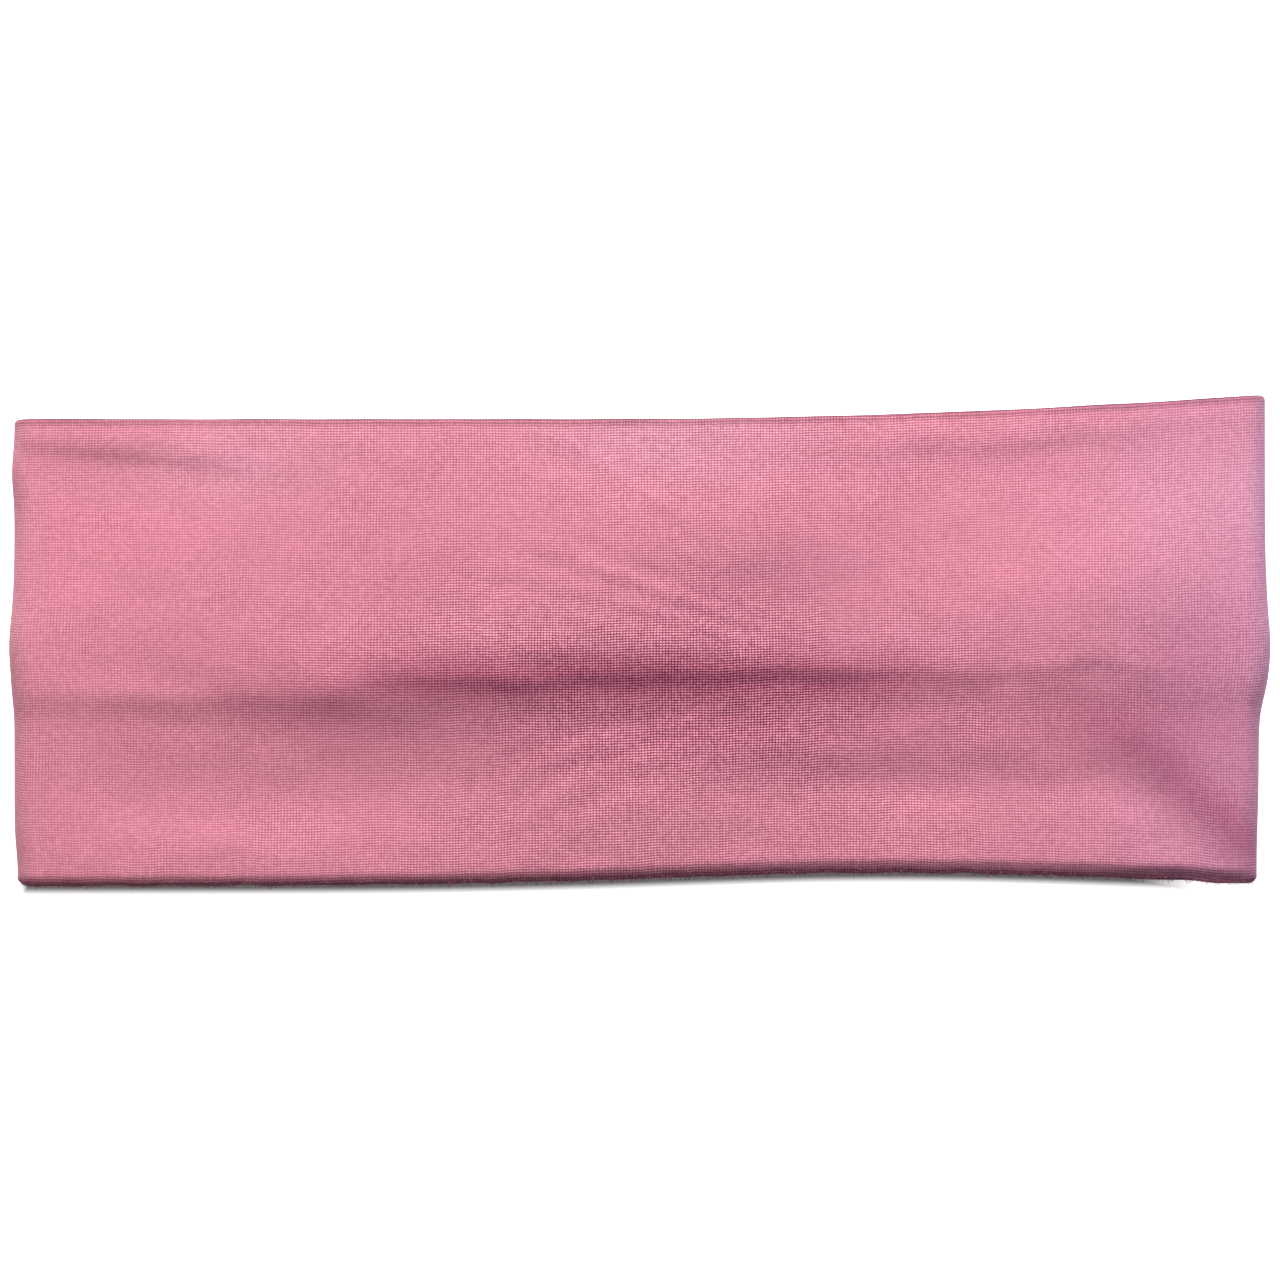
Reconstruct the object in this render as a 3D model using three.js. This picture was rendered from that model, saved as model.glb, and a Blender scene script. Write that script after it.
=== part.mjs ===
// Sports headband: one knitted panel, sewn along its length into a flat tube and then
// end to end into a loop, and laid flat. Millimetres, +Z up, origin on the table under
// the middle of the band. +X runs along the band and +Y across it.
//
// The loop lies as a back wall on the table and a front wall over it, joined by a fold
// at each end. It opens by bending at two lines in each wall while both folds open, so
// its panel is parted along those lines, at the two folds and at its one real end seam.
import * as THREE from "three";

// Driving dimensions
const FLAT_LENGTH = 240; // from fold to fold
const BAND_WIDTH = 94; // across the band, at its widest
const PLY = 0.6; // one thickness of the knitted fabric
const WALL = 2.8; // outer ply, air and inner ply of one wall
const LOOP_GAP = 4.5; // between the two walls
const BEND_X = 40; // the bend lines lie this far from the middle

// Shape of the long edges: the upper one sweeps up to the right end, and the lower one
// is lifted over a stretch right of the middle.
const UPPER_EDGE_DROP = 4.8; // how much lower the upper edge is along its level part
const UPPER_SWEEP_START = -10;
const LOWER_EDGE_LIFT = 2.4;
const LOWER_LIFT_X = 50;
const LOWER_LIFT_SPREAD = 60;

// Seams
const SEAM_U = -6.5; // the lengthwise seam lies this far across the inner ply
const DITCH = 0.9; // width of the groove at a seam
const ALLOWANCE = 5.5; // width of the turned-in seam edges
const THREAD = 0.3; // sewing thread diameter
const STITCH = 5; // length of two stitches of the end seam
const LADDER_STITCH = 4; // length of two stitches of the hand-closed stretch
const CLOSED_FROM = 6; // the stretch of the inner ply that is closed by hand
const CLOSED_TO = 36;

// Clearances
const GAP = 0.3; // between neighbouring pieces
const CROSSING = 7; // the lengthwise seam stops this far short of the end seam

// Derived sizes
const HALF_WIDTH = BAND_WIDTH / 2;
const HEIGHT = 2 * WALL + LOOP_GAP;
const EDGE_RADIUS = WALL / 2;
const FOLD_X = FLAT_LENGTH / 2 - HEIGHT / 2; // centre of each end fold
const FOLD_RADIUS = (LOOP_GAP + WALL) / 2; // at the middle of the wall
const FOLD_ARC = Math.PI * FOLD_RADIUS;
const LOOP_LENGTH = 4 * FOLD_X + 2 * FOLD_ARC;
const FRONT_MIDDLE = LOOP_LENGTH / 2;

// Steps of the curved surfaces
const STRAIGHT_STEP = 16;
const FOLD_STEPS = 6;
const EDGE_STEPS = 3;
const THREAD_SIDES = 6;

const fabric = new THREE.MeshStandardMaterial({
  color: 0xd8809a,
  roughness: 0.85,
  metalness: 0,
});
const seamTape = new THREE.MeshStandardMaterial({
  color: 0xc56f8a,
  roughness: 0.9,
  metalness: 0,
});
const sewingThread = new THREE.MeshStandardMaterial({
  color: 0xb65f7c,
  roughness: 0.7,
  metalness: 0,
});

// The long edges of the band at x.
function upperEdge(x) {
  const sweep = (x - UPPER_SWEEP_START) / (FLAT_LENGTH / 2 - UPPER_SWEEP_START);
  return HALF_WIDTH - UPPER_EDGE_DROP * (1 - Math.max(0, sweep) ** 2);
}

function lowerEdge(x) {
  const along = (x - LOWER_LIFT_X) / LOWER_LIFT_SPREAD;
  return -HALF_WIDTH + LOWER_EDGE_LIFT * Math.exp(-(along ** 2));
}

// The place of a point of the wall: u across the band, n outwards from the wall's inner
// face, and s along the loop from the middle of the back wall, past the left fold first.
function onLoop(u, n, s) {
  const left = s <= FRONT_MIDDLE;
  const t = left ? s : LOOP_LENGTH - s;
  const turn = Math.min(Math.max((t - FOLD_X) / FOLD_RADIUS, 0), Math.PI);
  const frontAlong = Math.max(t - FOLD_X - FOLD_ARC, 0);
  const radius = LOOP_GAP / 2 + n;
  const reach = Math.min(t, FOLD_X) + radius * Math.sin(turn) - frontAlong;
  const x = left ? -reach : reach;
  const low = lowerEdge(x);
  const high = upperEdge(x);
  const y = (low + high) / 2 + (u * (high - low)) / BAND_WIDTH;
  return new THREE.Vector3(x, y, HEIGHT / 2 - radius * Math.cos(turn));
}

// The places along the loop where a piece from s0 to s1 needs an edge: its ends, evenly
// along the straight walls, and finely round the folds.
function stations(s0, s1) {
  const fold = FOLD_ARC / FOLD_STEPS;
  const found = [s0];
  while (s1 - found.at(-1) > 1e-6) {
    const s = found.at(-1);
    const starts = [FOLD_X, 3 * FOLD_X + FOLD_ARC];
    const inFold = starts.some((f) => s > f - 1e-6 && s < f + FOLD_ARC - 1e-6);
    const nextFold = starts.find((f) => f > s + 1e-6) ?? Infinity;
    const step = inFold ? fold : STRAIGHT_STEP;
    found.push(Math.min(s + step, nextFold, s1));
  }
  return found;
}

// A cross-section run along the loop from s0 to s1.
function alongLoop(section, s0, s1) {
  const places = stations(s0, s1);
  const geometry = new THREE.ExtrudeGeometry(section, {
    depth: places.length - 1,
    steps: places.length - 1,
    curveSegments: EDGE_STEPS,
    bevelEnabled: false,
  });
  const position = geometry.getAttribute("position");
  for (let i = 0; i < position.count; i++) {
    const s = places[Math.round(position.getZ(i))];
    const point = onLoop(position.getX(i), position.getY(i), s);
    position.setXYZ(i, point.x, point.y, point.z);
  }
  geometry.computeVertexNormals();
  return geometry;
}

// The panel's cross-section: a flat tube whose two long edges meet at the seam.
function panelSection() {
  const round = HALF_WIDTH - EDGE_RADIUS;
  const up = Math.PI / 2;
  const right = SEAM_U + DITCH / 2;
  const left = SEAM_U - DITCH / 2;
  const shape = new THREE.Shape();
  shape.moveTo(right, 0);
  shape.absarc(round, EDGE_RADIUS, EDGE_RADIUS, -up, up, false);
  shape.absarc(-round, EDGE_RADIUS, EDGE_RADIUS, up, 3 * up, false);
  shape.lineTo(left, 0);
  shape.lineTo(left, PLY);
  shape.absarc(-round, EDGE_RADIUS, EDGE_RADIUS - PLY, 3 * up, up, true);
  shape.absarc(round, EDGE_RADIUS, EDGE_RADIUS - PLY, up, -up, true);
  shape.lineTo(right, PLY);
  shape.closePath();
  return shape;
}

// The overlocked edges of the panel, pressed flat between the plies.
function overlockSection() {
  const low = PLY + GAP;
  const high = WALL - PLY - GAP;
  const middle = (low + high) / 2;
  const radius = (high - low) / 2;
  const shape = new THREE.Shape();
  shape.moveTo(SEAM_U, low);
  shape.absarc(SEAM_U + ALLOWANCE, middle, radius, -Math.PI / 2, Math.PI / 2, false);
  shape.lineTo(SEAM_U, high);
  shape.closePath();
  return shape;
}

// A box of turned-in panel ends beside the end seam, on the given side of it.
function endAllowance(side) {
  const length = BAND_WIDTH - UPPER_EDGE_DROP - 4 * WALL;
  const thickness = WALL - 2 * (PLY + GAP);
  const geometry = new THREE.BoxGeometry(ALLOWANCE, length, thickness);
  const middle = (upperEdge(0) + lowerEdge(0)) / 2;
  geometry.translate(side * (DITCH + ALLOWANCE / 2), middle, WALL / 2);
  return geometry;
}

// A thread in the end seam's groove, in the ply whose middle is at height z. It waves
// by the given amounts along x and z, once for each pair of stitches.
function seamThread(y0, y1, z, pitch, waveX, waveZ) {
  const halfStitches = Math.round((2 * (y1 - y0)) / pitch);
  const points = [];
  for (let i = 0; i <= halfStitches; i++) {
    const side = i % 2 ? 1 : -1;
    const y = y0 + ((y1 - y0) * i) / halfStitches;
    points.push(new THREE.Vector3(side * waveX, y, z + side * waveZ));
  }
  const section = new THREE.Shape();
  section.absarc(0, 0, THREAD / 2, 0, 2 * Math.PI, false);
  return new THREE.ExtrudeGeometry(section, {
    steps: 2 * halfStitches,
    curveSegments: THREAD_SIDES / 2,
    extrudePath: new THREE.CatmullRomCurve3(points),
    bevelEnabled: false,
  });
}

const headband = new THREE.Group();

function add(name, geometry, material) {
  const mesh = new THREE.Mesh(geometry, material);
  mesh.name = name;
  headband.add(mesh);
}

// The panel, from the end seam round the loop and back to it. Each piece runs from one
// end line to the next, less half a gap at both.
const backBend = BEND_X;
const leftFoldStart = FOLD_X;
const leftFoldApex = FOLD_X + FOLD_ARC / 2;
const leftFoldEnd = FOLD_X + FOLD_ARC;
const frontBend = FRONT_MIDDLE - BEND_X;
const mirrored = (s) => LOOP_LENGTH - s;

const leftPieces = [
  ["panel_back_centre_left", DITCH / 2 - GAP / 2, backBend],
  ["panel_back_left", backBend, leftFoldStart],
  ["fold_left_lower", leftFoldStart, leftFoldApex],
  ["fold_left_upper", leftFoldApex, leftFoldEnd],
  ["panel_front_left", leftFoldEnd, frontBend],
  ["panel_front_centre_left", frontBend, FRONT_MIDDLE],
];
for (const [name, s0, s1] of leftPieces) {
  const start = s0 + GAP / 2;
  const end = s1 - GAP / 2;
  add(name, alongLoop(panelSection(), start, end), fabric);
  const twin = name.replace("left", "right");
  add(twin, alongLoop(panelSection(), mirrored(end), mirrored(start)), fabric);
}

// The lengthwise seam's overlocked edges, inside the tube, parted where the panel is.
const leftSeams = [
  ["overlock_back_centre_left", CROSSING, backBend],
  ["overlock_back_left", backBend, leftFoldApex],
  ["overlock_front_left", leftFoldApex, frontBend],
  ["overlock_front_centre_left", frontBend, FRONT_MIDDLE],
];
for (const [name, s0, s1] of leftSeams) {
  const start = s0 + GAP / 2;
  const end = s1 - GAP / 2;
  add(name, alongLoop(overlockSection(), start, end), seamTape);
  const twin = name.replace("left", "right");
  add(twin, alongLoop(overlockSection(), mirrored(end), mirrored(start)), seamTape);
}

// The end seam: the turned-in ends of both plies and the threads that hold them.
add("end_allowance_outer_ply", endAllowance(-1), seamTape);
add("end_allowance_inner_ply", endAllowance(1), seamTape);

const outerPly = PLY / 2;
const innerPly = WALL - PLY / 2;
const wave = (PLY - THREAD) / 4;
const seamLow = lowerEdge(0) + WALL;
const seamHigh = upperEdge(0) - WALL;
add(
  "end_seam_thread_outer",
  seamThread(seamLow, seamHigh, outerPly, STITCH, 0, wave),
  sewingThread,
);
add(
  "end_seam_thread_inner",
  seamThread(seamLow, CLOSED_FROM - 1, innerPly, STITCH, 0, wave),
  sewingThread,
);
add(
  "closing_stitch_thread",
  seamThread(CLOSED_FROM, CLOSED_TO, innerPly, LADDER_STITCH, wave, 0),
  sewingThread,
);

export default headband;
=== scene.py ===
"""Sports headband, lying flat as a closed loop of double knitted cloth.

Shapes are worked out in millimetres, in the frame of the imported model, and stored in
metres. The loop is described by t, the distance along it from the end seam at the back;
a fold angle, 0 on the back wall and pi on the front wall; and the place (u, n) in the
wall's cross-section, where u runs across the band and n outwards from its inner face.
"""

import math

import bpy
import numpy as np
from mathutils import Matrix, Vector


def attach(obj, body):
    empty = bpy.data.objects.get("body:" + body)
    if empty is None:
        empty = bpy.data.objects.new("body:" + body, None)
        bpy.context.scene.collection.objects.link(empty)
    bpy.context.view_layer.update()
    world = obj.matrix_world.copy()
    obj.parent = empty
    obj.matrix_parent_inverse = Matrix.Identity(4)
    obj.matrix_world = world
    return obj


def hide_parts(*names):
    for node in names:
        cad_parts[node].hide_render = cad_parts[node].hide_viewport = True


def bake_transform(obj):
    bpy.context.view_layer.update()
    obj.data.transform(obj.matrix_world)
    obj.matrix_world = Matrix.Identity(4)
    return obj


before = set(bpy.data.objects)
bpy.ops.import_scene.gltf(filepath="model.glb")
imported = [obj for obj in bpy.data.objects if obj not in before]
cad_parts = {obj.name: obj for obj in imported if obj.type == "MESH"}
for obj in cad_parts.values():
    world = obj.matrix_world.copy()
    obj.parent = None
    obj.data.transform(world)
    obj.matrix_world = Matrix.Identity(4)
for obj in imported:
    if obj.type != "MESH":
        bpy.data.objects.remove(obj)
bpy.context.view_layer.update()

MM = 0.001

# Driving sizes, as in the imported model
FLAT_LENGTH = 240.0
BAND_WIDTH = 94.0
WALL = 2.8  # one wall where the seam edges lie in it
LOOP_GAP = 4.5
UPPER_EDGE_DROP = 4.8
UPPER_SWEEP_START = -10.0
LOWER_EDGE_LIFT = 2.4
LOWER_LIFT_X = 50.0
LOWER_LIFT_SPREAD = 60.0
SEAM_U = -6.5
CROSSING = 7.0
CLOSED_FROM = 6.0
CLOSED_TO = 36.0

# The cloth
PLY = 0.55
EDGE_WALL = 2.0  # one wall away from the seam edges
ALLOWANCE = 5.5
TURN_IN = 0.4  # radius of the turned-in seam edges
RIDGE = 0.55  # rise of the outer ply over the seam edges
WALE = 0.58  # distance between the knit's ribs
COURSE = 0.53  # distance between its rows
THREAD = 0.1  # radius of the sewing threads
LADDER_PITCH = 3.0  # distance between the hand stitches of the closed stretch
END_GROOVE = 0.04  # half the width of the end seam's groove
FUZZ_PITCH = 0.07  # distance along the lower edge between its loose fibres
FUZZ_LENGTH = 0.7
FUZZ_RADIUS = 0.028
FUZZ_ROOT = 0.04  # how deep in the cloth they start
FUZZ_ANGLES = (-50, 95)  # degrees from straight out of the edge, to the outer face
FUZZ_FROM = 0.5  # the first one's distance from the end seam
FUZZ_END_GAP = 0.1  # and the last one's from the middle of the front wall
FUZZ_INSIDE = 0.06  # they keep so far outside the inner face, clear of the other wall
FUZZ_SEED = 50
MIDDLE_GAP = 0.004  # between the two halves of the front wall, too narrow to be seen

# Its colours, as linear red, green and blue
CLOTH_COLOUR = (0.335, 0.112, 0.147)
# Painted shade in the front wall's hollows
HOLLOW_SHADE_TINT = (0.54, 0.06, 0.34, 1)
# Painted shade at the rounded long edges
EDGE_SHADE_TINT = (0.15, 0.1, 0.14, 1)
# Painted highlight, where light grazes the fibres
HIGHLIGHT_TINT = (1.06, 1.3, 1.28, 1)
# A painted bluish sheen towards the right-hand end
VIOLET_SHEEN_TINT = (0.89, 0.99, 1.06, 1)
THREAD_DARK = (0.27, 0.06, 0.095, 1)
THREAD_PALE = (0.43, 0.12, 0.17, 1)
# The fibres' tones vary at random between these; the dark one is partly painted shade of the
# lower edge
FUZZ_SHADED_DARK = (0.09, 0.025, 0.045, 1)
FUZZ_PALE = (0.36, 0.12, 0.17, 1)

# The floor glows, as painted light, outside a strip along the lower edge, where the band's
# shadow shows.
# The glow comes in between these distances:
GLOW_BELOW = np.array([0.6, 2.5])  # below the lower edge
GLOW_UNDER = np.array([2.5, 6.0])  # above it, under the band
GLOW_RIGHT = np.array([94, 110])  # along x, since the shadow tapers off at right
GLOW_BESIDE = np.array([-2.0, 0.0])  # past both ends of the band

# Mesh steps
ALONG_STEP = 1.1
ACROSS_STEP = 0.7
FOLD_STEPS = 36

# Where the cloth is split between pieces
FOLD_FROM = 112.0

# Derived sizes
HALF_WIDTH = BAND_WIDTH / 2
HEIGHT = 2 * WALL + LOOP_GAP
FOLD_X = FLAT_LENGTH / 2 - HEIGHT / 2
FOLD_RADIUS = (LOOP_GAP + WALL) / 2
FOLD_ARC = math.pi * FOLD_RADIUS
HALF_LOOP = 2 * FOLD_X + FOLD_ARC
FOLD_TO = HALF_LOOP - FOLD_FROM

LEFT, RIGHT = -1, 1
SIDE_NAMES = {LEFT: "left", RIGHT: "right"}

# What the knit's material reads at each point of the cloth, as shares from 0 to 1
LOOKS = ("hollow", "edge", "pale", "violet_sheen", "open_stitches", "deep_gaps")
# The colours that its first four multiply the cloth's colour by, in this order; they paint in a
# highlight, a bluish sheen, and shade in the hollows and at the long edges
TINTS = {
    "pale": HIGHLIGHT_TINT,
    "violet_sheen": VIOLET_SHEEN_TINT,
    "hollow": HOLLOW_SHADE_TINT,
    "edge": EDGE_SHADE_TINT,
}

# Places on the front wall: amount, x and width along x, y and width along y.
# Below these the wall falls, by so many millimetres:
FALLS = (
    (0.35, 26, 18, 13.5, 2.8),  # a dip above the seam
    (0.95, -8, 38, -3.8, 3.2),  # over the seam edges
    (0.6, 58, 42, -22.5, 5.0),  # the slack cloth at right
    (0.3, 2, 34, -35, 6),  # above the lower edge
    (-0.75, -80, 32, -36.5, 4.5),  # rising again at lower left
    (-0.45, 64, 34, -31, 3.0),  # and at lower right
)
# here painted shade makes the cloth look darker:
SHADED_PLACES = (
    (0.1, 14, 15, 6, 7),  # above the seam
    (0.19, 18, 42, -17, 8),  # the hollow under it
    (0.2, 95, 18, -16, 7),  # that hollow's right-hand end
    (0.14, 103, 9, -3, 7),  # the kink at right
)
# and here a painted highlight makes it look paler:
HIGHLIGHT_PLACES = (
    (0.7, 5, 24, 39, 9),
    (0.55, 113, 24, 27, 14),
    (0.6, -76, 20, 34, 9),
)

# Layers of noise in the cloth's colour: scale, share, darkest and palest tone
FIBRES = (3.1, 0.5, (0.5, 0.48, 0.49, 1), (1.5, 1.52, 1.51, 1))
MOTTLE = (0.8, 0.55, (0.7, 0.66, 0.68, 1), (1.3, 1.34, 1.32, 1))
PATCHES = (0.05, 0.4, (0.85, 0.8, 0.82, 1), (1.15, 1.2, 1.18, 1))

# The crease at lower right
CREASE_START = np.array([80.0, -15.5])
CREASE_END = np.array([117.0, -46.5])


# ---------------------------------------------------------------- camera


def make_camera():
    """Straight above the band, with the top of the picture towards +Y."""
    picture_width = 244.4 * MM
    lens = 100.0
    data = bpy.data.cameras.new("camera")
    data.lens = lens
    data.sensor_width = 36.0
    data.clip_start = 0.01
    camera = bpy.data.objects.new("camera", data)
    distance = picture_width * lens / data.sensor_width
    camera.location = (0, 0, HEIGHT * MM * 0.75 + distance)
    bpy.context.scene.collection.objects.link(camera)
    bpy.context.scene.camera = camera


# ---------------------------------------------------------------- shape


def ramp(value, centre, width):
    """Rises smoothly from 0 to 1 about centre."""
    return 0.5 * (1 + np.tanh((value - centre) / width))


def hump(value, centre, width):
    """A smooth hump of height 1."""
    return np.exp(-(((value - centre) / width) ** 2))


def billow(x, y, size, seed):
    """Soft random swells between about -1 and 1, of the given size in millimetres."""
    random = np.random.default_rng(seed)
    total = 0
    for _ in range(7):
        angle = random.uniform(0, math.pi)
        pitch = size * random.uniform(0.6, 1.6)
        phase = random.uniform(0, 2 * math.pi)
        along = x * math.cos(angle) + y * math.sin(angle)
        total = total + np.sin(2 * math.pi * along / pitch + phase)
    return total / 3.5


def upper_edge(x):
    sweep = (x - UPPER_SWEEP_START) / (FLAT_LENGTH / 2 - UPPER_SWEEP_START)
    return HALF_WIDTH - UPPER_EDGE_DROP * (1 - np.maximum(0, sweep) ** 2)


def lower_edge(x):
    edge = -HALF_WIDTH + LOWER_EDGE_LIFT * hump(x, LOWER_LIFT_X, LOWER_LIFT_SPREAD)
    hook = -0.3 * hump(x, 113, 5)
    left_corner = np.clip((-x - 117.0) / 3.5, 0, 1)
    right_corner = np.clip((x - 117.5) / 3.0, 0, 1)
    rounding = 3.0 * (1 - np.sqrt(1 - 0.97 * left_corner**2))
    rounding = rounding + 1.6 * (1 - np.sqrt(1 - 0.97 * right_corner**2))
    return edge + hook + rounding


def end_reach(side, y):
    """How far short of the full length the band's end lies at y."""
    if side == LEFT:
        worn = -0.65 + 0.7 * ramp(-y, 40, 4) - 0.5 * hump(y, 32, 5)
    else:
        worn = -0.55 + 1.2 * ramp(-y, 12, 4) + 0.4 * ramp(-y, 34, 6)
    return worn - 0.5 * hump(y, -1, 6)


def summed(x, y, places, profile):
    """The sum over places of a hump along x times a profile along y."""
    return sum(
        amount * hump(x, at_x, width_x) * profile(y, at_y, width_y)
        for amount, at_x, width_x, at_y, width_y in places
    )


def drop(value, centre, width):
    """Falls smoothly from 1 to 0 about centre."""
    return 1 - ramp(value, centre, width)


def sag(x, y):
    """How the front wall falls away towards and below its seam edges."""
    broad = (0.2 + 0.65 * hump(x, 14, 46)) * drop(y, 8, 8)
    # Just under the seam edges it drops steeply, except near the ends of the band.
    kink = hump(x, 87, 8)
    steep_y = -7.8 + 0.9 * np.tanh(x / 25) + 0.45 * billow(x, 0, 17, 9) + 2.0 * kink
    middle = ramp(x, -50, 9) - ramp(x, 46, 14)
    steep_drop = 0.7 * middle + 0.3 * hump(x, 72, 24) + 0.25 * kink + 0.12
    steep = steep_drop * drop(y, steep_y, 1.6 + 0.4 * kink + 0.6 * hump(x, -60, 25))
    # It goes on falling gently, most of all left of the middle, where the fall slants.
    gentle = (0.35 + 0.3 * hump(x, 5, 40)) * drop(y, -14, 4)
    slant = 1.2 * hump(x, -60, 27) * drop(y, -13.5 - 0.2 * (x + 62), 6.0)
    low = (0.3 + 0.4 * hump(x, 34, 20)) * drop(y, -24, 4)
    left_end = 0.3 * ramp(-x, 72, 12) * drop(y, -9, 1.6)
    falls = broad + steep + gentle + slant + low + summed(x, y, FALLS, drop)
    return left_end - falls


def shoulders(x, y):
    """Where the wall turns down early towards its upper edge."""
    right = 1.1 * hump(x, 114, 28) * ramp(y, 27, 10)
    middle = 0.45 * hump(x, -8, 26) * ramp(y, 33, 6)
    return -right - middle


def drag_lines(x, y):
    """Fine wrinkles that fan out from the right-hand half towards the upper left, and
    weaker ones that rise to the right below the seam."""
    from_x, from_y = 62.0, -10.0
    angle = np.arctan2(y - from_y, from_x - x)
    reach = np.hypot(y - from_y, from_x - x)
    upper_area = hump(angle, 0.36, 0.24) * hump(reach, 66, 36)
    upper = np.sin(84 * angle + 1.3 * np.sin(reach / 17)) * (0.6 + 0.4 * np.sin(23 * angle + 1))
    lower_angle = np.arctan2(y - 2, 52 - x)
    lower_area = hump(lower_angle, -0.36, 0.16) * hump(x, -8, 24) * drop(y, -13, 3)
    lower = np.sin(64 * lower_angle + 1.5 * np.sin(x / 8))
    return 0.065 * upper_area * upper + 0.06 * lower_area * lower


def crease_place(x, y):
    """Where a point lies by the slanting crease at lower right: its share of the way
    along, and how many millimetres it is above."""
    length = np.linalg.norm(CREASE_END - CREASE_START)
    direction = (CREASE_END - CREASE_START) / length
    from_x, from_y = x - CREASE_START[0], y - CREASE_START[1]
    along = (from_x * direction[0] + from_y * direction[1]) / length
    above = from_y * direction[0] - from_x * direction[1]
    return along, above


def edge_creases(x, y):
    """The shallow dents along the upper edge and the slanting crease at lower right."""
    below = upper_edge(x) - y
    slope_left = 7.4 + 0.1 * (x + 98)
    slope_right = 7.5 - 2.5 * ramp(x, 88, 14)
    left = hump(x, -100, 23) * ramp(below, slope_left, 1.6) * drop(below, 21, 7)
    right = hump(x, 70, 32) * ramp(below, slope_right, 1.4) * drop(below, 15, 4)
    along, above = crease_place(x, y)
    window = ramp(along, 0.15, 0.3) * drop(along, 1.05, 0.06)
    crease = window * drop(above, 4.5, 4.5) * (0.4 + 0.6 * ramp(above, -5.5, 3.5))
    return -0.5 * left - 0.3 * right - 1.1 * crease


def front_relief(x, y):
    """How far the front wall's outer ply rises above its level, negative where lower."""
    calm_end = 1 - 0.75 * ramp(np.abs(x), 106, 4)
    swells = 0.17 * billow(x, y * 1.6, 60, 3) + 0.04 * billow(x, y * 1.4, 17, 5)
    swells = swells + 0.09 * hump(y, -9, 5) * billow(x, y, 21, 31)
    droop = -0.7 * drop(y, lower_edge(x) + 0.9 + 0.8 * ramp(x, -10, 45), 0.6)
    roll = -0.25 * ramp(y, upper_edge(x) - 1.8, 1.0)
    folds = drag_lines(x, y) + edge_creases(x, y)
    return (sag(x, y) + shoulders(x, y) + swells) * calm_end + folds + droop + roll


def edge_shade(x, y):
    """From 0 to 1, how much painted shade darkens the cloth's colour at its rounded long edges.
    """
    above = y - upper_edge(x)
    upper = 0.55 * ramp(above, -1.0, 0.5) + 0.17 * ramp(above, -2.6, 0.9)
    upper = upper + 0.28 * ramp(above, -0.3, 0.12)
    lowest = y - lower_edge(x)
    edge_line = 0.85 + 0.35 * ramp(x, -30, 40) + 1.3 * hump(x, 103, 10)
    edge_line = edge_line + 0.14 * billow(x, 0, 5, 41)
    blur = 0.35 + 0.9 * hump(x, 103, 11)
    lower = 0.76 * drop(lowest, edge_line, blur) + 0.1 * drop(lowest, 0.5, 0.3)
    return upper + lower


def hollow_shade(x, y):
    """From 0 to 1, how much painted shade darkens the front wall's colour in its hollows."""
    middle = ramp(x, -52, 10) - ramp(x, 52, 14)
    seam_line = 0.42 * middle * hump(y, -7.1 + 0.5 * billow(x, 0, 19, 9), 4.6)
    slanting = 0.15 * hump(x, -62, 20) * hump(y, -12.5 - 0.12 * (x + 62), 6)
    along, above = crease_place(x, y)
    corner = 0.34 * ramp(along, 0.3, 0.25) * hump(above, 6.0, 4.5)
    return seam_line + slanting + corner + summed(x, y, SHADED_PLACES, hump)


def painted_highlight(x, y):
    """From 0 to 1, how much painted highlight pales the front wall where light grazes its
    fibres.
    """
    ends = 0.5 * hump(np.abs(x), 119.5, 3)
    return np.clip(ends + summed(x, y, HIGHLIGHT_PLACES, hump), 0, 1)


def back_relief(x, y):
    """How far the back wall's outer ply lifts off the surface it lies on."""
    return 0.12 * (1 + billow(x, y, 30, 11))


def seam_relief(t, u, y, outerness):
    """The groove and puckers at the end seam, and the puckers of the long seam."""
    face = 2 * outerness - 1
    groove = -0.32 * face * np.exp(-(((t - END_GROOVE) / 0.6) ** 2))
    wave = np.cos(2 * math.pi * y / 4.3 + 0.8 * np.sin(y / 7))
    pucker = 0.1 * face * wave * np.exp(-((t / 3.5) ** 2))
    along_wave = np.cos(2 * math.pi * t / 3.7 + 0.7 * np.sin(t / 11))
    long_pucker = -0.07 * along_wave * (1 - outerness) * hump(u, SEAM_U, 3.0)
    return groove + pucker + long_pucker


def place(side, t, u, n):
    """Points of the wall, in millimetres, for arrays that broadcast together."""
    t, u, n = np.broadcast_arrays(t, u, n)
    radius = LOOP_GAP / 2 + n
    angle = np.clip((t - FOLD_X) / FOLD_RADIUS, 0, math.pi)
    back_along = np.minimum(t, FOLD_X)
    front_along = np.clip(t - FOLD_X - FOLD_ARC, 0, None)
    out_x = np.sin(angle)
    out_z = -np.cos(angle)
    front = np.clip(out_z, 0, 1) ** 2
    back = np.clip(-out_z, 0, 1) ** 2
    reach = back_along + radius * out_x - front_along
    x = side * reach

    low = lower_edge(x) + 0.3 * back + 0.1 * billow(x, front, 9, 21)
    high = upper_edge(x) - 0.4 * back + 0.05 * billow(x, front, 14, 22)
    y = (low + high) / 2 + u * (high - low) / BAND_WIDTH

    outerness = np.clip(n / EDGE_WALL, 0, 1)
    inner_share = 0.8 * drop(reach, 104, 2.5)
    outer_relief = front_relief(x, y)
    relief = outer_relief * (inner_share + (1 - inner_share) * outerness)
    lift = relief * front - back_relief(x, y) * back
    lift = lift + seam_relief(t, u, y, outerness)

    end = np.clip((reach - 90) / 27, 0, 1) ** 2
    x = x - side * end_reach(side, y) * end + side * lift * out_x
    z = HEIGHT / 2 - radius * np.cos(angle) + lift * out_z
    return np.stack([x, y, z], axis=-1)


# ---------------------------------------------------------------- cloth sections


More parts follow.
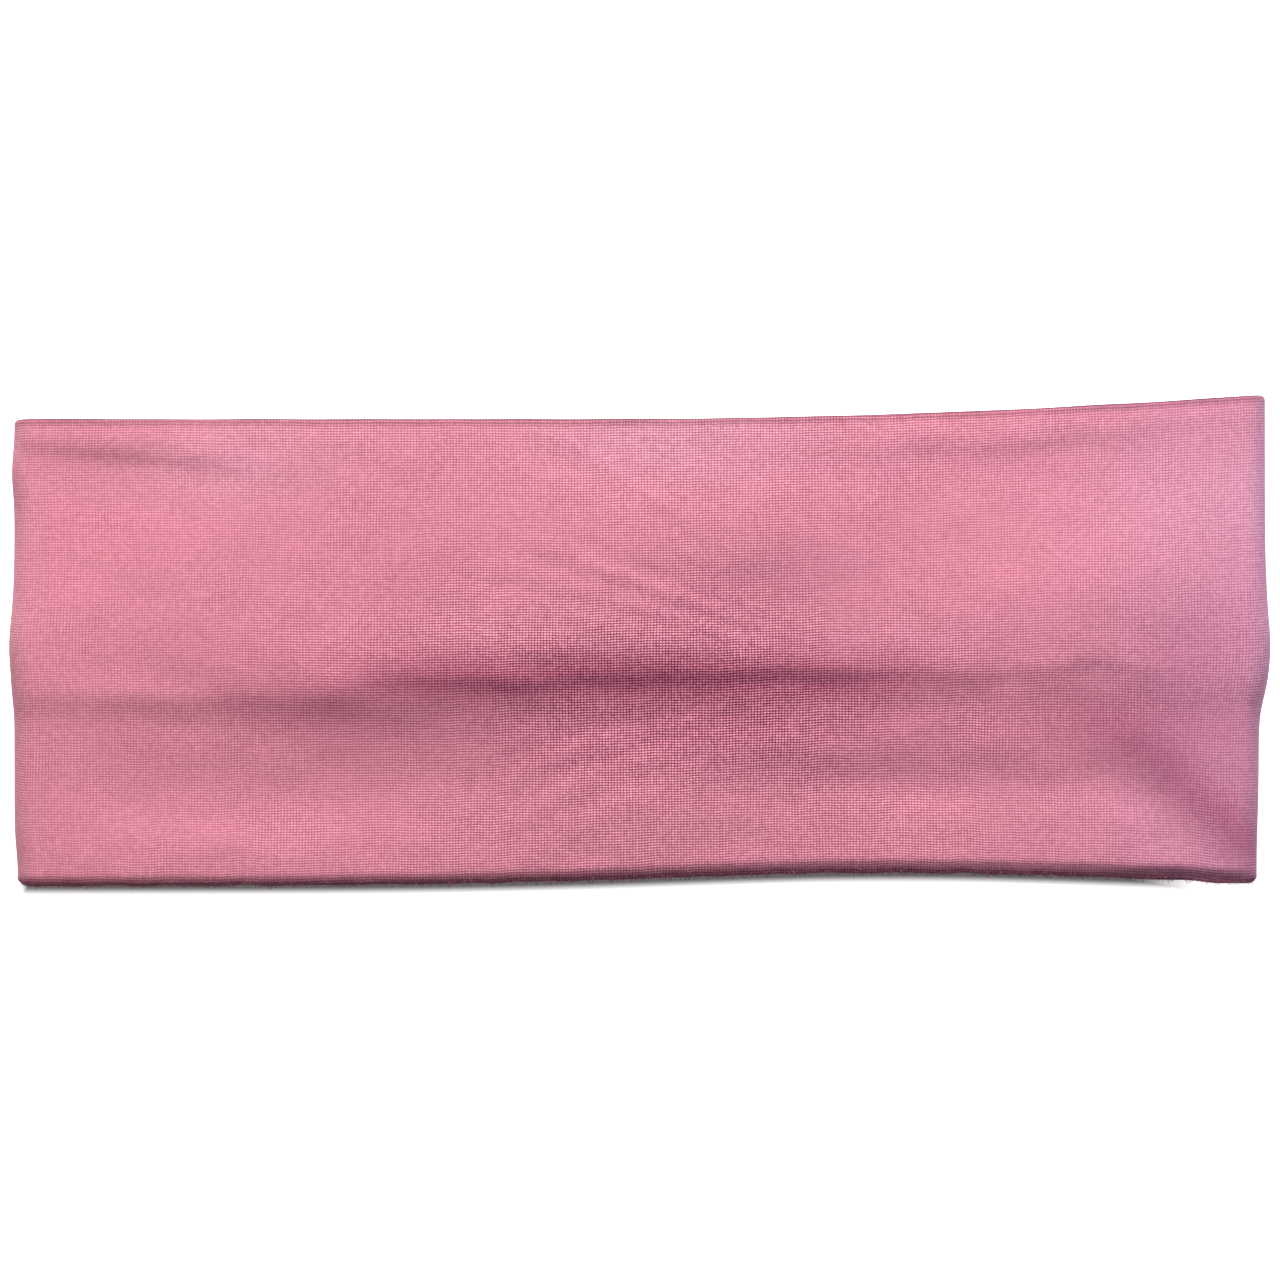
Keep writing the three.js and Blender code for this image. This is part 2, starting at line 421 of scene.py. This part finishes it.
def line(start, end, step):
    """Evenly spaced points from start up to, but without, end."""
    start, end = np.array(start, float), np.array(end, float)
    count = max(1, round(float(np.linalg.norm(end - start)) / step))
    share = np.arange(count)[:, None] / count
    return start + (end - start) * share


def arc(centre, radius, first, last, count):
    """Points round a centre between two angles in degrees, without the last."""
    angle = np.radians(first + (last - first) * np.arange(count) / count)
    circle = np.stack([np.cos(angle), np.sin(angle)], axis=1)
    return np.array(centre, float) + radius * circle


def panel_line():
    """The middle of the panel's thickness in the cross-section, from raw edge to raw edge.

    It starts at the lower seam edge, runs over the inner ply, round the upper edge of
    the band, back over the outer ply, round the lower edge and in to the seam again."""
    half = PLY / 2
    edge_radius = (EDGE_WALL - PLY) / 2
    edge_u = HALF_WIDTH - half - edge_radius
    middle = EDGE_WALL / 2
    outer = EDGE_WALL - half
    first_turn = (SEAM_U + half + TURN_IN, half + TURN_IN)
    second_turn = (SEAM_U - half - TURN_IN, half + TURN_IN)
    lower_edge_n = half + 2 * TURN_IN
    upper_edge_n = lower_edge_n + PLY
    over = (SEAM_U - half + TURN_IN, upper_edge_n - TURN_IN)
    tip_u = SEAM_U + ALLOWANCE
    corners = [
        line((tip_u, lower_edge_n), (first_turn[0], lower_edge_n), ACROSS_STEP),
        arc(first_turn, TURN_IN, 90, 270, 6),
        line((first_turn[0], half), (edge_u, half), ACROSS_STEP),
        arc((edge_u, middle), edge_radius, -90, 90, 10),
        line((edge_u, outer), (-edge_u, outer), ACROSS_STEP),
        arc((-edge_u, middle), edge_radius, 90, 270, 10),
        line((-edge_u, half), (second_turn[0], half), ACROSS_STEP),
        arc(second_turn, TURN_IN, -90, 0, 3),
        arc(over, TURN_IN, 180, 90, 3),
        line((over[0], upper_edge_n), (tip_u, upper_edge_n), ACROSS_STEP),
        [(tip_u, upper_edge_n)],
    ]
    return np.concatenate(corners)


def seam_ridge(u):
    """How far the outer ply is pushed out over the hidden seam edges."""
    lower = ramp(u, SEAM_U - 4.2, 3.0)
    upper = drop(u, SEAM_U + ALLOWANCE + 12, 7.0)
    return RIDGE * lower * upper


def panel_ring():
    """The outline of the panel's cross-section: its face side, then its reverse.

    Returns the ring's (u, n) and the distance of each point across the panel."""
    middle = panel_line()
    tangent = np.gradient(middle, axis=0)
    tangent /= np.linalg.norm(tangent, axis=1)[:, None]
    face_side = np.stack([tangent[:, 1], -tangent[:, 0]], axis=1)
    outer_ply = face_side[:, 1] > 0.95
    outer_ply &= middle[:, 1] > EDGE_WALL - PLY
    outer_ply[: len(middle) // 4] = False
    outer_ply[-len(middle) // 4 :] = False
    middle[:, 1] += outer_ply * seam_ridge(middle[:, 0])
    steps = np.linalg.norm(np.diff(middle, axis=0), axis=1)
    across = np.concatenate([[0], np.cumsum(steps)])
    across -= across[-1] / 2
    face = middle + face_side * PLY / 2
    reverse = middle - face_side * PLY / 2
    ring = np.concatenate([face, reverse[::-1]])
    return ring, np.concatenate([across, across[::-1]])


def stations():
    """Places along half the loop, from the end seam to the middle of the front wall."""
    near_seam = END_GROOVE + np.array([0, 0.25, 0.5, 0.8, 1.2, 1.8])
    even_from = 2.9
    back = np.linspace(even_from, FOLD_FROM, round((FOLD_FROM - even_from) / ALONG_STEP) + 1)
    to_fold = np.linspace(FOLD_FROM, FOLD_X, 4)[1:]
    fold = np.linspace(FOLD_X, FOLD_X + FOLD_ARC, FOLD_STEPS + 1)[1:]
    off_fold = np.linspace(FOLD_X + FOLD_ARC, FOLD_TO, 4)[1:]
    front_end = HALF_LOOP - MIDDLE_GAP / 2
    front = np.linspace(FOLD_TO, front_end, round(FOLD_FROM / ALONG_STEP) + 1)[1:]
    return np.concatenate([near_seam, back, to_fold, fold, off_fold, front])


def knit_along(t):
    """Distance along the cloth's outer face, which is longer than t at the fold."""
    in_fold = np.clip(t - FOLD_X, 0, FOLD_ARC)
    return t + 0.3 * in_fold


# ---------------------------------------------------------------- meshes


def new_object(name, mesh, material):
    mesh.materials.append(material)
    piece = bpy.data.objects.new(name, mesh)
    bpy.context.scene.collection.objects.link(piece)
    return piece


def swept_solid(name, grid, normals, knit, looks, material):
    """A closed solid from a grid of rings, whose last ring point joins the first.

    The rings' two halves face each other, so its ends are closed by strips."""
    rings, count = grid.shape[:2]
    index = np.arange(rings * count).reshape(rings, count)
    following = np.roll(index, -1, axis=1)
    walls = np.stack([index[:-1], index[1:], following[1:], following[:-1]], axis=-1)
    faces = walls.reshape(-1, 4).tolist()
    half = count // 2
    for ring, outward in ((index[0], -1), (index[-1], 1)):
        face, reverse = ring[:half], ring[half:][::-1]
        strip = np.stack([face[:-1], face[1:], reverse[1:], reverse[:-1]], axis=-1)
        faces += strip[:, :: -outward].tolist()
    points = grid.reshape(-1, 3) * MM
    mesh = bpy.data.meshes.new(name)
    mesh.from_pydata(points.tolist(), [], faces)
    attribute = mesh.attributes.new("knit_mm", "FLOAT_VECTOR", "POINT")
    attribute.data.foreach_set("vector", knit.reshape(-1).astype(np.float32))
    for look, values in looks.items():
        attribute = mesh.attributes.new(look, "FLOAT", "POINT")
        attribute.data.foreach_set("value", values.reshape(-1).astype(np.float32))
    mesh.update()
    mesh.shade_smooth()
    mesh.normals_split_custom_set_from_vertices(normals.reshape(-1, 3).tolist())
    return new_object(name, mesh, material)


def ring_normals(grid):
    """Unit normals of a grid of closed rings, from its neighbouring points."""
    along = np.gradient(grid, axis=0)
    around = np.roll(grid, -1, axis=1) - np.roll(grid, 1, axis=1)
    normal = np.cross(along, around)
    return normal / np.maximum(np.linalg.norm(normal, axis=-1, keepdims=True), 1e-9)


def tube(points, radius, sides):
    """Rings of points round a thread that runs through points, in millimetres."""
    points = np.array(points, float)
    tangent = np.gradient(points, axis=0)
    tangent /= np.linalg.norm(tangent, axis=1)[:, None]
    across = np.cross(tangent, (0.31, 0.17, 0.93))
    across /= np.linalg.norm(across, axis=1)[:, None]
    up = np.cross(tangent, across)
    angle = 2 * math.pi * np.arange(sides) / sides
    circle = np.cos(angle)[:, None] * across[:, None] + np.sin(angle)[:, None] * up[:, None]
    return points[:, None] + radius * circle


def thread_mesh(name, strands, radius, material, sides=6):
    """One mesh of several separate threads, each a closed tube with capped ends."""
    vertices, faces = [], []
    for strand in strands:
        grid = tube(strand, radius, sides)
        rings = len(grid)
        index = len(vertices) + np.arange(rings * sides).reshape(rings, sides)
        following = np.roll(index, -1, axis=1)
        walls = np.stack([index[:-1], following[:-1], following[1:], index[1:]], axis=-1)
        faces += walls.reshape(-1, 4).tolist()
        faces += [index[0][::-1].tolist(), index[-1].tolist()]
        vertices += (grid.reshape(-1, 3) * MM).tolist()
    mesh = bpy.data.meshes.new(name)
    mesh.from_pydata(vertices, [], faces)
    mesh.update()
    mesh.shade_smooth()
    return new_object(name, mesh, material)


# ---------------------------------------------------------------- materials


class Graph:
    """Short calls for the nodes of one material."""

    def __init__(self, name):
        self.material = bpy.data.materials.new(name)
        self.material.use_nodes = True
        self.tree = self.material.node_tree
        self.shader = self.tree.nodes["Principled BSDF"]

    def link(self, value, socket):
        if isinstance(value, bpy.types.NodeSocket):
            self.tree.links.new(value, socket)
        else:
            socket.default_value = value

    def math(self, operation, *values):
        node = self.tree.nodes.new("ShaderNodeMath")
        node.operation = operation
        for value, socket in zip(values, node.inputs):
            self.link(value, socket)
        return node.outputs[0]

    def attribute(self, name, output="Vector"):
        node = self.tree.nodes.new("ShaderNodeAttribute")
        node.attribute_name = name
        return node.outputs[output]

    def mix(self, share, first, second):
        node = self.tree.nodes.new("ShaderNodeMix")
        for value, socket in zip((share, first, second), (node.inputs[0], *node.inputs[2:4])):
            self.link(value, socket)
        return node.outputs[0]

    def vector_math(self, operation, *values):
        node = self.tree.nodes.new("ShaderNodeVectorMath")
        node.operation = operation
        for value, socket in zip(values, node.inputs):
            self.link(value, socket)
        return node.outputs[0]

    def wave(self, phase):
        """From 0 to 1 and back, once for each whole step of phase."""
        turned = self.math("MULTIPLY", phase, 2 * math.pi)
        return self.math("MULTIPLY_ADD", self.math("COSINE", turned), 0.5, 0.5)

    def noise(self, vector, scale, detail=2.0, colour=False):
        node = self.tree.nodes.new("ShaderNodeTexNoise")
        node.inputs["Scale"].default_value = scale
        node.inputs["Detail"].default_value = detail
        self.link(vector, node.inputs["Vector"])
        return node.outputs["Color" if colour else "Fac"]

    def spread(self, value, low, high, to_low=0.0, to_high=1.0):
        node = self.tree.nodes.new("ShaderNodeMapRange")
        node.interpolation_type = "SMOOTHSTEP"
        self.link(value, node.inputs["Value"])
        ends = {"From Min": low, "From Max": high, "To Min": to_low, "To Max": to_high}
        for name, number in ends.items():
            node.inputs[name].default_value = number
        return node.outputs["Result"]

    def blend(self, share, first, second, mode="MIX"):
        node = self.tree.nodes.new("ShaderNodeMix")
        node.data_type = "RGBA"
        node.blend_type = mode
        self.link(share, node.inputs[0])
        self.link(first, node.inputs[6])
        self.link(second, node.inputs[7])
        return node.outputs[2]

    def cell_noise(self, first, second):
        """A random value from 0 to 1 for each pair of whole numbers."""
        pair = self.tree.nodes.new("ShaderNodeCombineXYZ")
        self.link(first, pair.inputs[0])
        self.link(second, pair.inputs[1])
        node = self.tree.nodes.new("ShaderNodeTexWhiteNoise")
        node.noise_dimensions = "2D"
        self.link(pair.outputs[0], node.inputs["Vector"])
        return node.outputs["Value"]

    def split(self, vector):
        node = self.tree.nodes.new("ShaderNodeSeparateXYZ")
        self.link(vector, node.inputs[0])
        return node.outputs

    def bump(self, height, depth, strength=1.0):
        node = self.tree.nodes.new("ShaderNodeBump")
        node.inputs["Distance"].default_value = depth * MM
        node.inputs["Strength"].default_value = strength
        self.link(height, node.inputs["Height"])
        return node.outputs["Normal"]


def wandering(graph, cloth):
    """The cloth's coordinates, moved a little, as wales and courses wander in real cloth."""
    moved = cloth
    for scale, reach in ((0.035, (1.0, 1.2, 0.0)), (0.9, (0.16, 0.18, 0.0))):
        shift = graph.noise(cloth, scale, 2.0, colour=True)
        shift = graph.vector_math("SUBTRACT", shift, (0.5, 0.5, 0.5))
        shift = graph.vector_math("MULTIPLY", shift, reach)
        moved = graph.vector_math("ADD", moved, shift)
    return moved


def stitches(graph, cloth, openness):
    """The height of the stitches, and a random value for each loop.

    Each stitch is a rounded loop: ribs along the wales, crossed by slightly pointed rows.
    Where the cloth isn't stretched, the rows show more than the single loops."""
    along, across, _ = graph.split(cloth)
    wale = graph.math("DIVIDE", along, WALE)
    course = graph.math("DIVIDE", across, COURSE)
    course = graph.math("MULTIPLY_ADD", graph.math("PINGPONG", wale, 0.5), 0.6, course)
    rib = graph.wave(wale)
    row = graph.wave(course)
    dots = graph.math("MULTIPLY", graph.math("MULTIPLY_ADD", rib, 0.8, 0.2), row)
    rows = graph.math("MULTIPLY_ADD", row, 0.46, graph.math("MULTIPLY", rib, 0.14))
    rowness = graph.math("MULTIPLY_ADD", openness, -0.45, graph.noise(cloth, 0.06, 2.0))
    rowness = graph.spread(rowness, 0.05, 0.5, 0.0, 0.8)
    loop = graph.cell_noise(
        graph.math("FLOOR", graph.math("ADD", wale, 0.5)),
        graph.math("FLOOR", graph.math("ADD", course, 0.5)),
    )
    return graph.mix(rowness, dots, rows), loop


def stitch_colour(graph, stitch, loop, openness):
    """The cloth's colour, darker in the gaps between the loops, and uneven from loop to
    loop."""
    swing = graph.math("SUBTRACT", graph.spread(stitch, 0.0, 0.8), 0.33)
    swing = graph.math("MULTIPLY_ADD", graph.math("SUBTRACT", loop, 0.5), 0.2, swing)
    contrast = graph.spread(openness, 0.0, 1.0, 0.68, 1.05)
    deep_gaps = graph.attribute("deep_gaps", "Fac")
    contrast = graph.math("MULTIPLY_ADD", deep_gaps, 1.2, contrast)
    swing = graph.math("MULTIPLY", swing, contrast)
    swing = graph.vector_math("MULTIPLY_ADD", swing, (0.9, 1.25, 1.15), (1, 1, 1))
    return graph.vector_math("MULTIPLY", swing, CLOTH_COLOUR)


def knit_material():
    graph = Graph("knit")
    inputs = graph.shader.inputs
    cloth = wandering(graph, graph.attribute("knit_mm"))
    openness = graph.attribute("open_stitches", "Fac")
    stitch, loop = stitches(graph, cloth, openness)
    colour = stitch_colour(graph, stitch, loop, openness)
    for scale, share, dark, pale in (FIBRES, MOTTLE, PATCHES):
        tone = graph.blend(graph.noise(cloth, scale, 3.0), dark, pale)
        colour = graph.blend(share, colour, tone, "MULTIPLY")
    # The painted highlight, sheen and shade, multiplied into the cloth's colour
    for look, tint in TINTS.items():
        colour = graph.blend(graph.attribute(look, "Fac"), colour, tint, "MULTIPLY")
    graph.link(colour, inputs["Base Color"])
    graph.link(graph.spread(stitch, 0.0, 1.0, 0.95, 0.8), inputs["Roughness"])
    height = graph.math("MULTIPLY_ADD", graph.noise(cloth, FIBRES[0], 3.0), 0.25, stitch)
    graph.link(graph.bump(height, 0.07, 0.6), inputs["Normal"])
    inputs["Specular IOR Level"].default_value = 0.15
    inputs["Sheen Weight"].default_value = 0.08
    inputs["Sheen Roughness"].default_value = 0.45
    inputs["Sheen Tint"].default_value = (1.0, 0.7, 0.8, 1)
    return graph.material


def thread_material():
    graph = Graph("thread")
    coordinates = graph.tree.nodes.new("ShaderNodeTexCoord").outputs["Object"]
    twist = graph.tree.nodes.new("ShaderNodeTexWave")
    twist.bands_direction = "DIAGONAL"
    twist.inputs["Scale"].default_value = 1500
    twist.inputs["Distortion"].default_value = 1.5
    graph.link(coordinates, twist.inputs["Vector"])
    lint = graph.noise(coordinates, 900, 2.0)
    tone = graph.blend(twist.outputs["Fac"], THREAD_DARK, THREAD_PALE)
    lint_tone = graph.blend(lint, (0.7, 0.7, 0.7, 1), (1.2, 1.2, 1.2, 1))
    tone = graph.blend(0.4, tone, lint_tone, "MULTIPLY")
    graph.link(tone, graph.shader.inputs["Base Color"])
    graph.link(graph.bump(twist.outputs["Fac"], 0.04), graph.shader.inputs["Normal"])
    graph.link(graph.spread(lint, 0.3, 0.7, 0.6, 0.75), graph.shader.inputs["Roughness"])
    graph.shader.inputs["Sheen Weight"].default_value = 0.15
    return graph.material


def fuzz_material():
    graph = Graph("fuzz")
    coordinates = graph.tree.nodes.new("ShaderNodeTexCoord").outputs["Object"]
    strand = graph.noise(coordinates, 2500, 2.0)
    # From the dark tone, partly painted shade, to the paler one
    tone = graph.blend(graph.spread(strand, 0.35, 0.65), FUZZ_SHADED_DARK, FUZZ_PALE)
    graph.link(tone, graph.shader.inputs["Base Color"])
    graph.link(graph.spread(strand, 0.3, 0.7, 0.8, 0.95), graph.shader.inputs["Roughness"])
    graph.shader.inputs["Specular IOR Level"].default_value = 0.15
    return graph.material


# ---------------------------------------------------------------- pieces


def bend_across(piece, part):
    """Bakes a piece's placing into its mesh, the same for every part of the loop."""
    if part == "back":
        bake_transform(piece)
    elif part == "front":
        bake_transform(piece)
    else:
        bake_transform(piece)


def part_spans(start, end):
    """Where the three parts of half the loop begin and end, along it."""
    return {
        "back": (start, FOLD_FROM),
        "fold": (FOLD_FROM, FOLD_TO),
        "front": (FOLD_TO, end),
    }


def panel_nodes(side, part):
    name = SIDE_NAMES[side]
    nodes = {
        "back": [f"panel_back_centre_{name}", f"panel_back_{name}"],
        "fold": [f"fold_{name}_lower", f"fold_{name}_upper"],
        "front": [f"panel_front_{name}", f"panel_front_centre_{name}"],
    }
    return nodes[part]


def panel_looks(grid, places):
    """How much painted shade, highlight and sheen the cloth's colour gets at each point, and
    how open its stitches are.
    """
    x, y, _ = np.moveaxis(grid, -1, 0)
    front = ramp(places, FOLD_X + FOLD_ARC / 2, 1.5)[:, None]
    stretched = hump(x, 8, 70) * (0.75 + 0.25 * billow(x, y, 45, 8))
    return {
        "hollow": front * np.clip(hollow_shade(x, y), 0, 1),
        "edge": np.clip(edge_shade(x, y), 0, 1),
        "pale": front * painted_highlight(x, y),
        # A painted bluish sheen towards the right-hand end, half as strong in the upper part
        "violet_sheen": front * ramp(x, 93, 9) * (1 - 0.5 * ramp(y, 14, 8)),
        "open_stitches": 0.25 + 0.75 * front * stretched,
        "deep_gaps": front * stretched * hump(y, -12, 18),
    }


def make_end_allowance(side, node, material):
    """The cloth turned in beside the end seam, inside the back wall. It is in two strips,
    above and below the edges of the long seam."""
    t = np.concatenate([[0.75, 0.85], np.linspace(1.1, ALLOWANCE, 6), [5.75, 5.85]])
    from_middle = (t - t.mean()) / (ALLOWANCE / 2)
    slim = np.clip(1 - from_middle**2, 0.02, 1) ** 0.25
    reach_u = HALF_WIDTH - 5.0
    clear = 1.5
    spans = {
        "lower": (-reach_u, SEAM_U - clear),
        "upper": (SEAM_U + ALLOWANCE + clear, reach_u),
    }
    strips = []
    for label, (low_u, high_u) in spans.items():
        u = np.linspace(low_u, high_u, round((high_u - low_u) / 1.5))
        half_thick = np.full(len(u), 0.22)
        half_thick[[0, -1]] = 0.07
        ring_u = np.concatenate([u, u[::-1]])
        ring_n = np.concatenate([half_thick, -half_thick[::-1]])
        n = EDGE_WALL / 2 + ring_n * slim[:, None]
        grid = place(side, t[:, None], ring_u[None, :], n)
        knit = np.zeros(grid.shape)
        knit[..., 0] = t[:, None]
        knit[..., 1] = ring_u
        normals = ring_normals(grid)
        if side == RIGHT:
            grid, knit, normals = grid[:, ::-1], knit[:, ::-1], -normals[:, ::-1]
        looks = {look: np.zeros(n.shape) for look in LOOKS}
        name = f"end_allowance_{label}_{SIDE_NAMES[side]}"
        piece = swept_solid(name, grid, normals, knit, looks, material)
        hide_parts(node)
        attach(piece, "back_centre")
        strips.append(piece)
    return strips


def make_panel(side, material):
    """Half the loop's panel, as three pieces: back, fold and front."""
    ring, across = panel_ring()
    places = stations()
    extra = np.concatenate([places, [2 * HALF_LOOP - places[-2]]])
    grid = place(side, extra[:, None], ring[None, :, 0], ring[None, :, 1])
    grid[-1, :, 0] = -grid[-3, :, 0]
    normals = ring_normals(grid)[:-1]
    grid = grid[:-1]
    if side == LEFT:
        grid, normals = grid[:, ::-1], -normals[:, ::-1]
        across = across[::-1]
    knit = np.zeros(grid.shape)
    knit[..., 0] = side * (knit_along(places)[:, None] - knit_along(HALF_LOOP))
    knit[..., 1] = across[None, :]
    looks = panel_looks(grid, places)
    for part, (first, last) in part_spans(0, HALF_LOOP).items():
        inside = (places > first - 1e-6) & (places < last + 1e-6)
        piece = swept_solid(
            f"knit_{part}_{SIDE_NAMES[side]}",
            grid[inside],
            normals[inside],
            knit[inside],
            {look: values[inside] for look, values in looks.items()},
            material,
        )
        bend_across(piece, part)
        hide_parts(*panel_nodes(side, part))


def make_overlock(side, material):
    """The thread wound round the seam edges inside the wall, in three pieces."""
    name = SIDE_NAMES[side]
    nodes = {
        "back": [f"overlock_back_centre_{name}", f"overlock_back_{name}"],
        "fold": [],
        "front": [f"overlock_front_{name}", f"overlock_front_centre_{name}"],
    }
    pitch = 2.4
    around_u, around_n = 2.0, PLY + THREAD
    middle_n = PLY + 2 * TURN_IN
    for part, (first, last) in part_spans(CROSSING, HALF_LOOP).items():
        t = np.arange(first, last, pitch / 10)
        turn = 2 * math.pi * t / pitch
        u = SEAM_U + ALLOWANCE - 1.9 + around_u * np.cos(turn)
        points = place(side, t, u, middle_n + around_n * np.sin(turn))
        piece = thread_mesh(f"overlock_thread_{part}_{name}", [points], THREAD, material, 5)
        bend_across(piece, part)
        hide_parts(*nodes[part])


def make_fuzz(side, material):
    """Short loose fibres of the knit that stand out from the lower edge of the band."""
    random = np.random.default_rng(FUZZ_SEED + side)
    edge_radius = EDGE_WALL / 2
    for part, (first, last) in part_spans(FUZZ_FROM, HALF_LOOP - FUZZ_END_GAP).items():
        count = round((last - first) / FUZZ_PITCH)
        t = random.uniform(first, last, count)[:, None]
        angle = np.radians(random.uniform(*FUZZ_ANGLES, count))[:, None]
        length = FUZZ_LENGTH * random.uniform(0.3, 1.0, count)[:, None] ** 1.5
        length = length * (1 + 0.6 * billow(t, 0, 2.5, 51))
        lean = random.normal(0, 0.25, count)[:, None]
        twist = random.normal(0, 0.5, count)[:, None]
        share = np.array([0.0, 0.5, 1.0])
        radius = edge_radius - FUZZ_ROOT + length * share
        turned = angle + twist * share**2 * length
        u = -(HALF_WIDTH - edge_radius) - radius * np.cos(turned)
        n = np.maximum(edge_radius + radius * np.sin(turned), FUZZ_INSIDE)
        places = np.clip(t + lean * share**1.5, first, last)
        strands = place(side, places, u, n)
        name = f"lower_edge_fuzz_{part}_{SIDE_NAMES[side]}"
        piece = thread_mesh(name, list(strands), FUZZ_RADIUS, material, 3)
        bend_across(piece, part)


def seam_strands(low_y, high_y, z, z_sway, x_sway, pitch):
    """One thread that runs in and out of the end seam's groove."""
    count = round((high_y - low_y) / pitch) * 8
    y = np.linspace(low_y, high_y, count + 1)
    phase = 2 * math.pi * (y - low_y) / pitch
    sway = np.sin(0.37 * y + 1.0) * x_sway
    return [np.stack([sway, y, z + z_sway * np.cos(phase)], axis=1)]


def ladder_strands(low_y, high_y, z):
    """Short hand stitches across the groove, each a low arch with its ends in the cloth."""
    strands = []
    share = np.linspace(-1, 1, 9)
    for i, y in enumerate(np.arange(low_y, high_y, LADDER_PITCH)):
        reach = 0.75 + 0.08 * math.sin(2.3 * i)
        lean = 0.25 * math.sin(1.7 * i)
        arch = z + 0.18 * (1 - share**2) - 0.3 * share**4
        strands.append(np.stack([share * reach, y + share * lean, arch], axis=1))
    return strands


def make_seam_threads(material):
    low_y = float(lower_edge(0.0)) + WALL
    high_y = float(upper_edge(0.0)) - WALL
    outer_z, inner_z = 0.42, WALL - 0.34
    pieces = {
        "end_seam_thread_outer": seam_strands(low_y, high_y, outer_z, 0.1, 0.03, 2.5),
        "end_seam_thread_inner": seam_strands(low_y, CLOSED_FROM, inner_z, 0.1, 0.03, 2.5),
        "closing_stitch_thread": ladder_strands(CLOSED_FROM + 1, CLOSED_TO, WALL - 0.2),
    }
    for node, strands in pieces.items():
        piece = thread_mesh(f"{node}_sewn", strands, THREAD, material)
        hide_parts(node)
        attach(piece, "back_centre")


# ---------------------------------------------------------------- stage


def make_floor():
    """A pale table that glows, as painted light, and so keeps all but the closest shadow away.
    """
    graph = Graph("floor")
    inputs = graph.shader.inputs
    inputs["Base Color"].default_value = (0.65, 0.65, 0.65, 1)
    inputs["Roughness"].default_value = 0.9
    inputs["Specular IOR Level"].default_value = 0.1
    inputs["Emission Color"].default_value = (1, 1, 1, 1)
    coordinates = graph.tree.nodes.new("ShaderNodeTexCoord").outputs["Object"]
    x, y, _ = graph.split(coordinates)
    along = graph.math("MULTIPLY_ADD", x, 1 / MM, -LOWER_LIFT_X)
    along = graph.math("DIVIDE", along, LOWER_LIFT_SPREAD)
    squared = graph.math("MULTIPLY", along, along)
    lift = graph.math("EXPONENT", graph.math("MULTIPLY", squared, -1))
    edge = graph.math("MULTIPLY_ADD", lift, LOWER_EDGE_LIFT * MM, -(HALF_WIDTH + 0.1) * MM)
    inwards = graph.math("SUBTRACT", y, edge)
    outwards = graph.math("MULTIPLY", inwards, -1)
    from_middle = graph.math("ABSOLUTE", x)
    below = graph.spread(outwards, *(GLOW_BELOW * MM))
    under = graph.spread(inwards, *(GLOW_UNDER * MM))
    beside = graph.spread(from_middle, *((FLAT_LENGTH / 2 + GLOW_BESIDE) * MM))
    right_end = graph.spread(x, *(GLOW_RIGHT * MM))
    glow = graph.math("MAXIMUM", graph.math("MAXIMUM", below, under), beside)
    glow = graph.math("MAXIMUM", glow, right_end)
    graph.link(glow, inputs["Emission Strength"])
    size = 3.0
    corners = [(-size, -size, 0), (size, -size, 0), (size, size, 0), (-size, size, 0)]
    mesh = bpy.data.meshes.new("floor")
    mesh.from_pydata(corners, [], [(0, 1, 2, 3)])
    floor = new_object("floor", mesh, graph.material)
    floor.location.z = -0.05 * MM


def area_light(name, place_m, size, watts, colour):
    data = bpy.data.lights.new(name, "AREA")
    data.shape = "SQUARE"
    data.size = size
    data.energy = watts
    data.color = colour
    light = bpy.data.objects.new(name, data)
    light.location = place_m
    light.rotation_euler = (-Vector(place_m)).to_track_quat("-Z", "Y").to_euler()
    bpy.context.scene.collection.objects.link(light)


def make_lights():
    world = bpy.data.worlds.new("world")
    world.use_nodes = True
    world.node_tree.nodes["Background"].inputs["Color"].default_value = (1, 1, 1, 1)
    world.node_tree.nodes["Background"].inputs["Strength"].default_value = 0.33
    bpy.context.scene.world = world
    area_light("key", (-0.04, 0.9, 0.27), 0.3, 34.0, (1, 0.98, 0.96))
    area_light("fill", (-0.05, 0.75, 0.95), 0.5, 12.5, (1, 1, 1))
    area_light("side", (0.3, 0.12, 0.24), 0.2, 0.6, (0.26, 0.52, 1.0))
    bpy.context.scene.view_settings.view_transform = "Standard"


# ---------------------------------------------------------------- all of it


def main():
    make_camera()
    knit = knit_material()
    thread = thread_material()
    fuzz = fuzz_material()
    for side, turned_in in ((LEFT, "outer"), (RIGHT, "inner")):
        allowance = make_end_allowance(side, f"end_allowance_{turned_in}_ply", knit)
        make_panel(side, knit)
        make_overlock(side, thread)
        make_fuzz(side, fuzz)
    make_seam_threads(thread)
    make_floor()
    make_lights()


main()
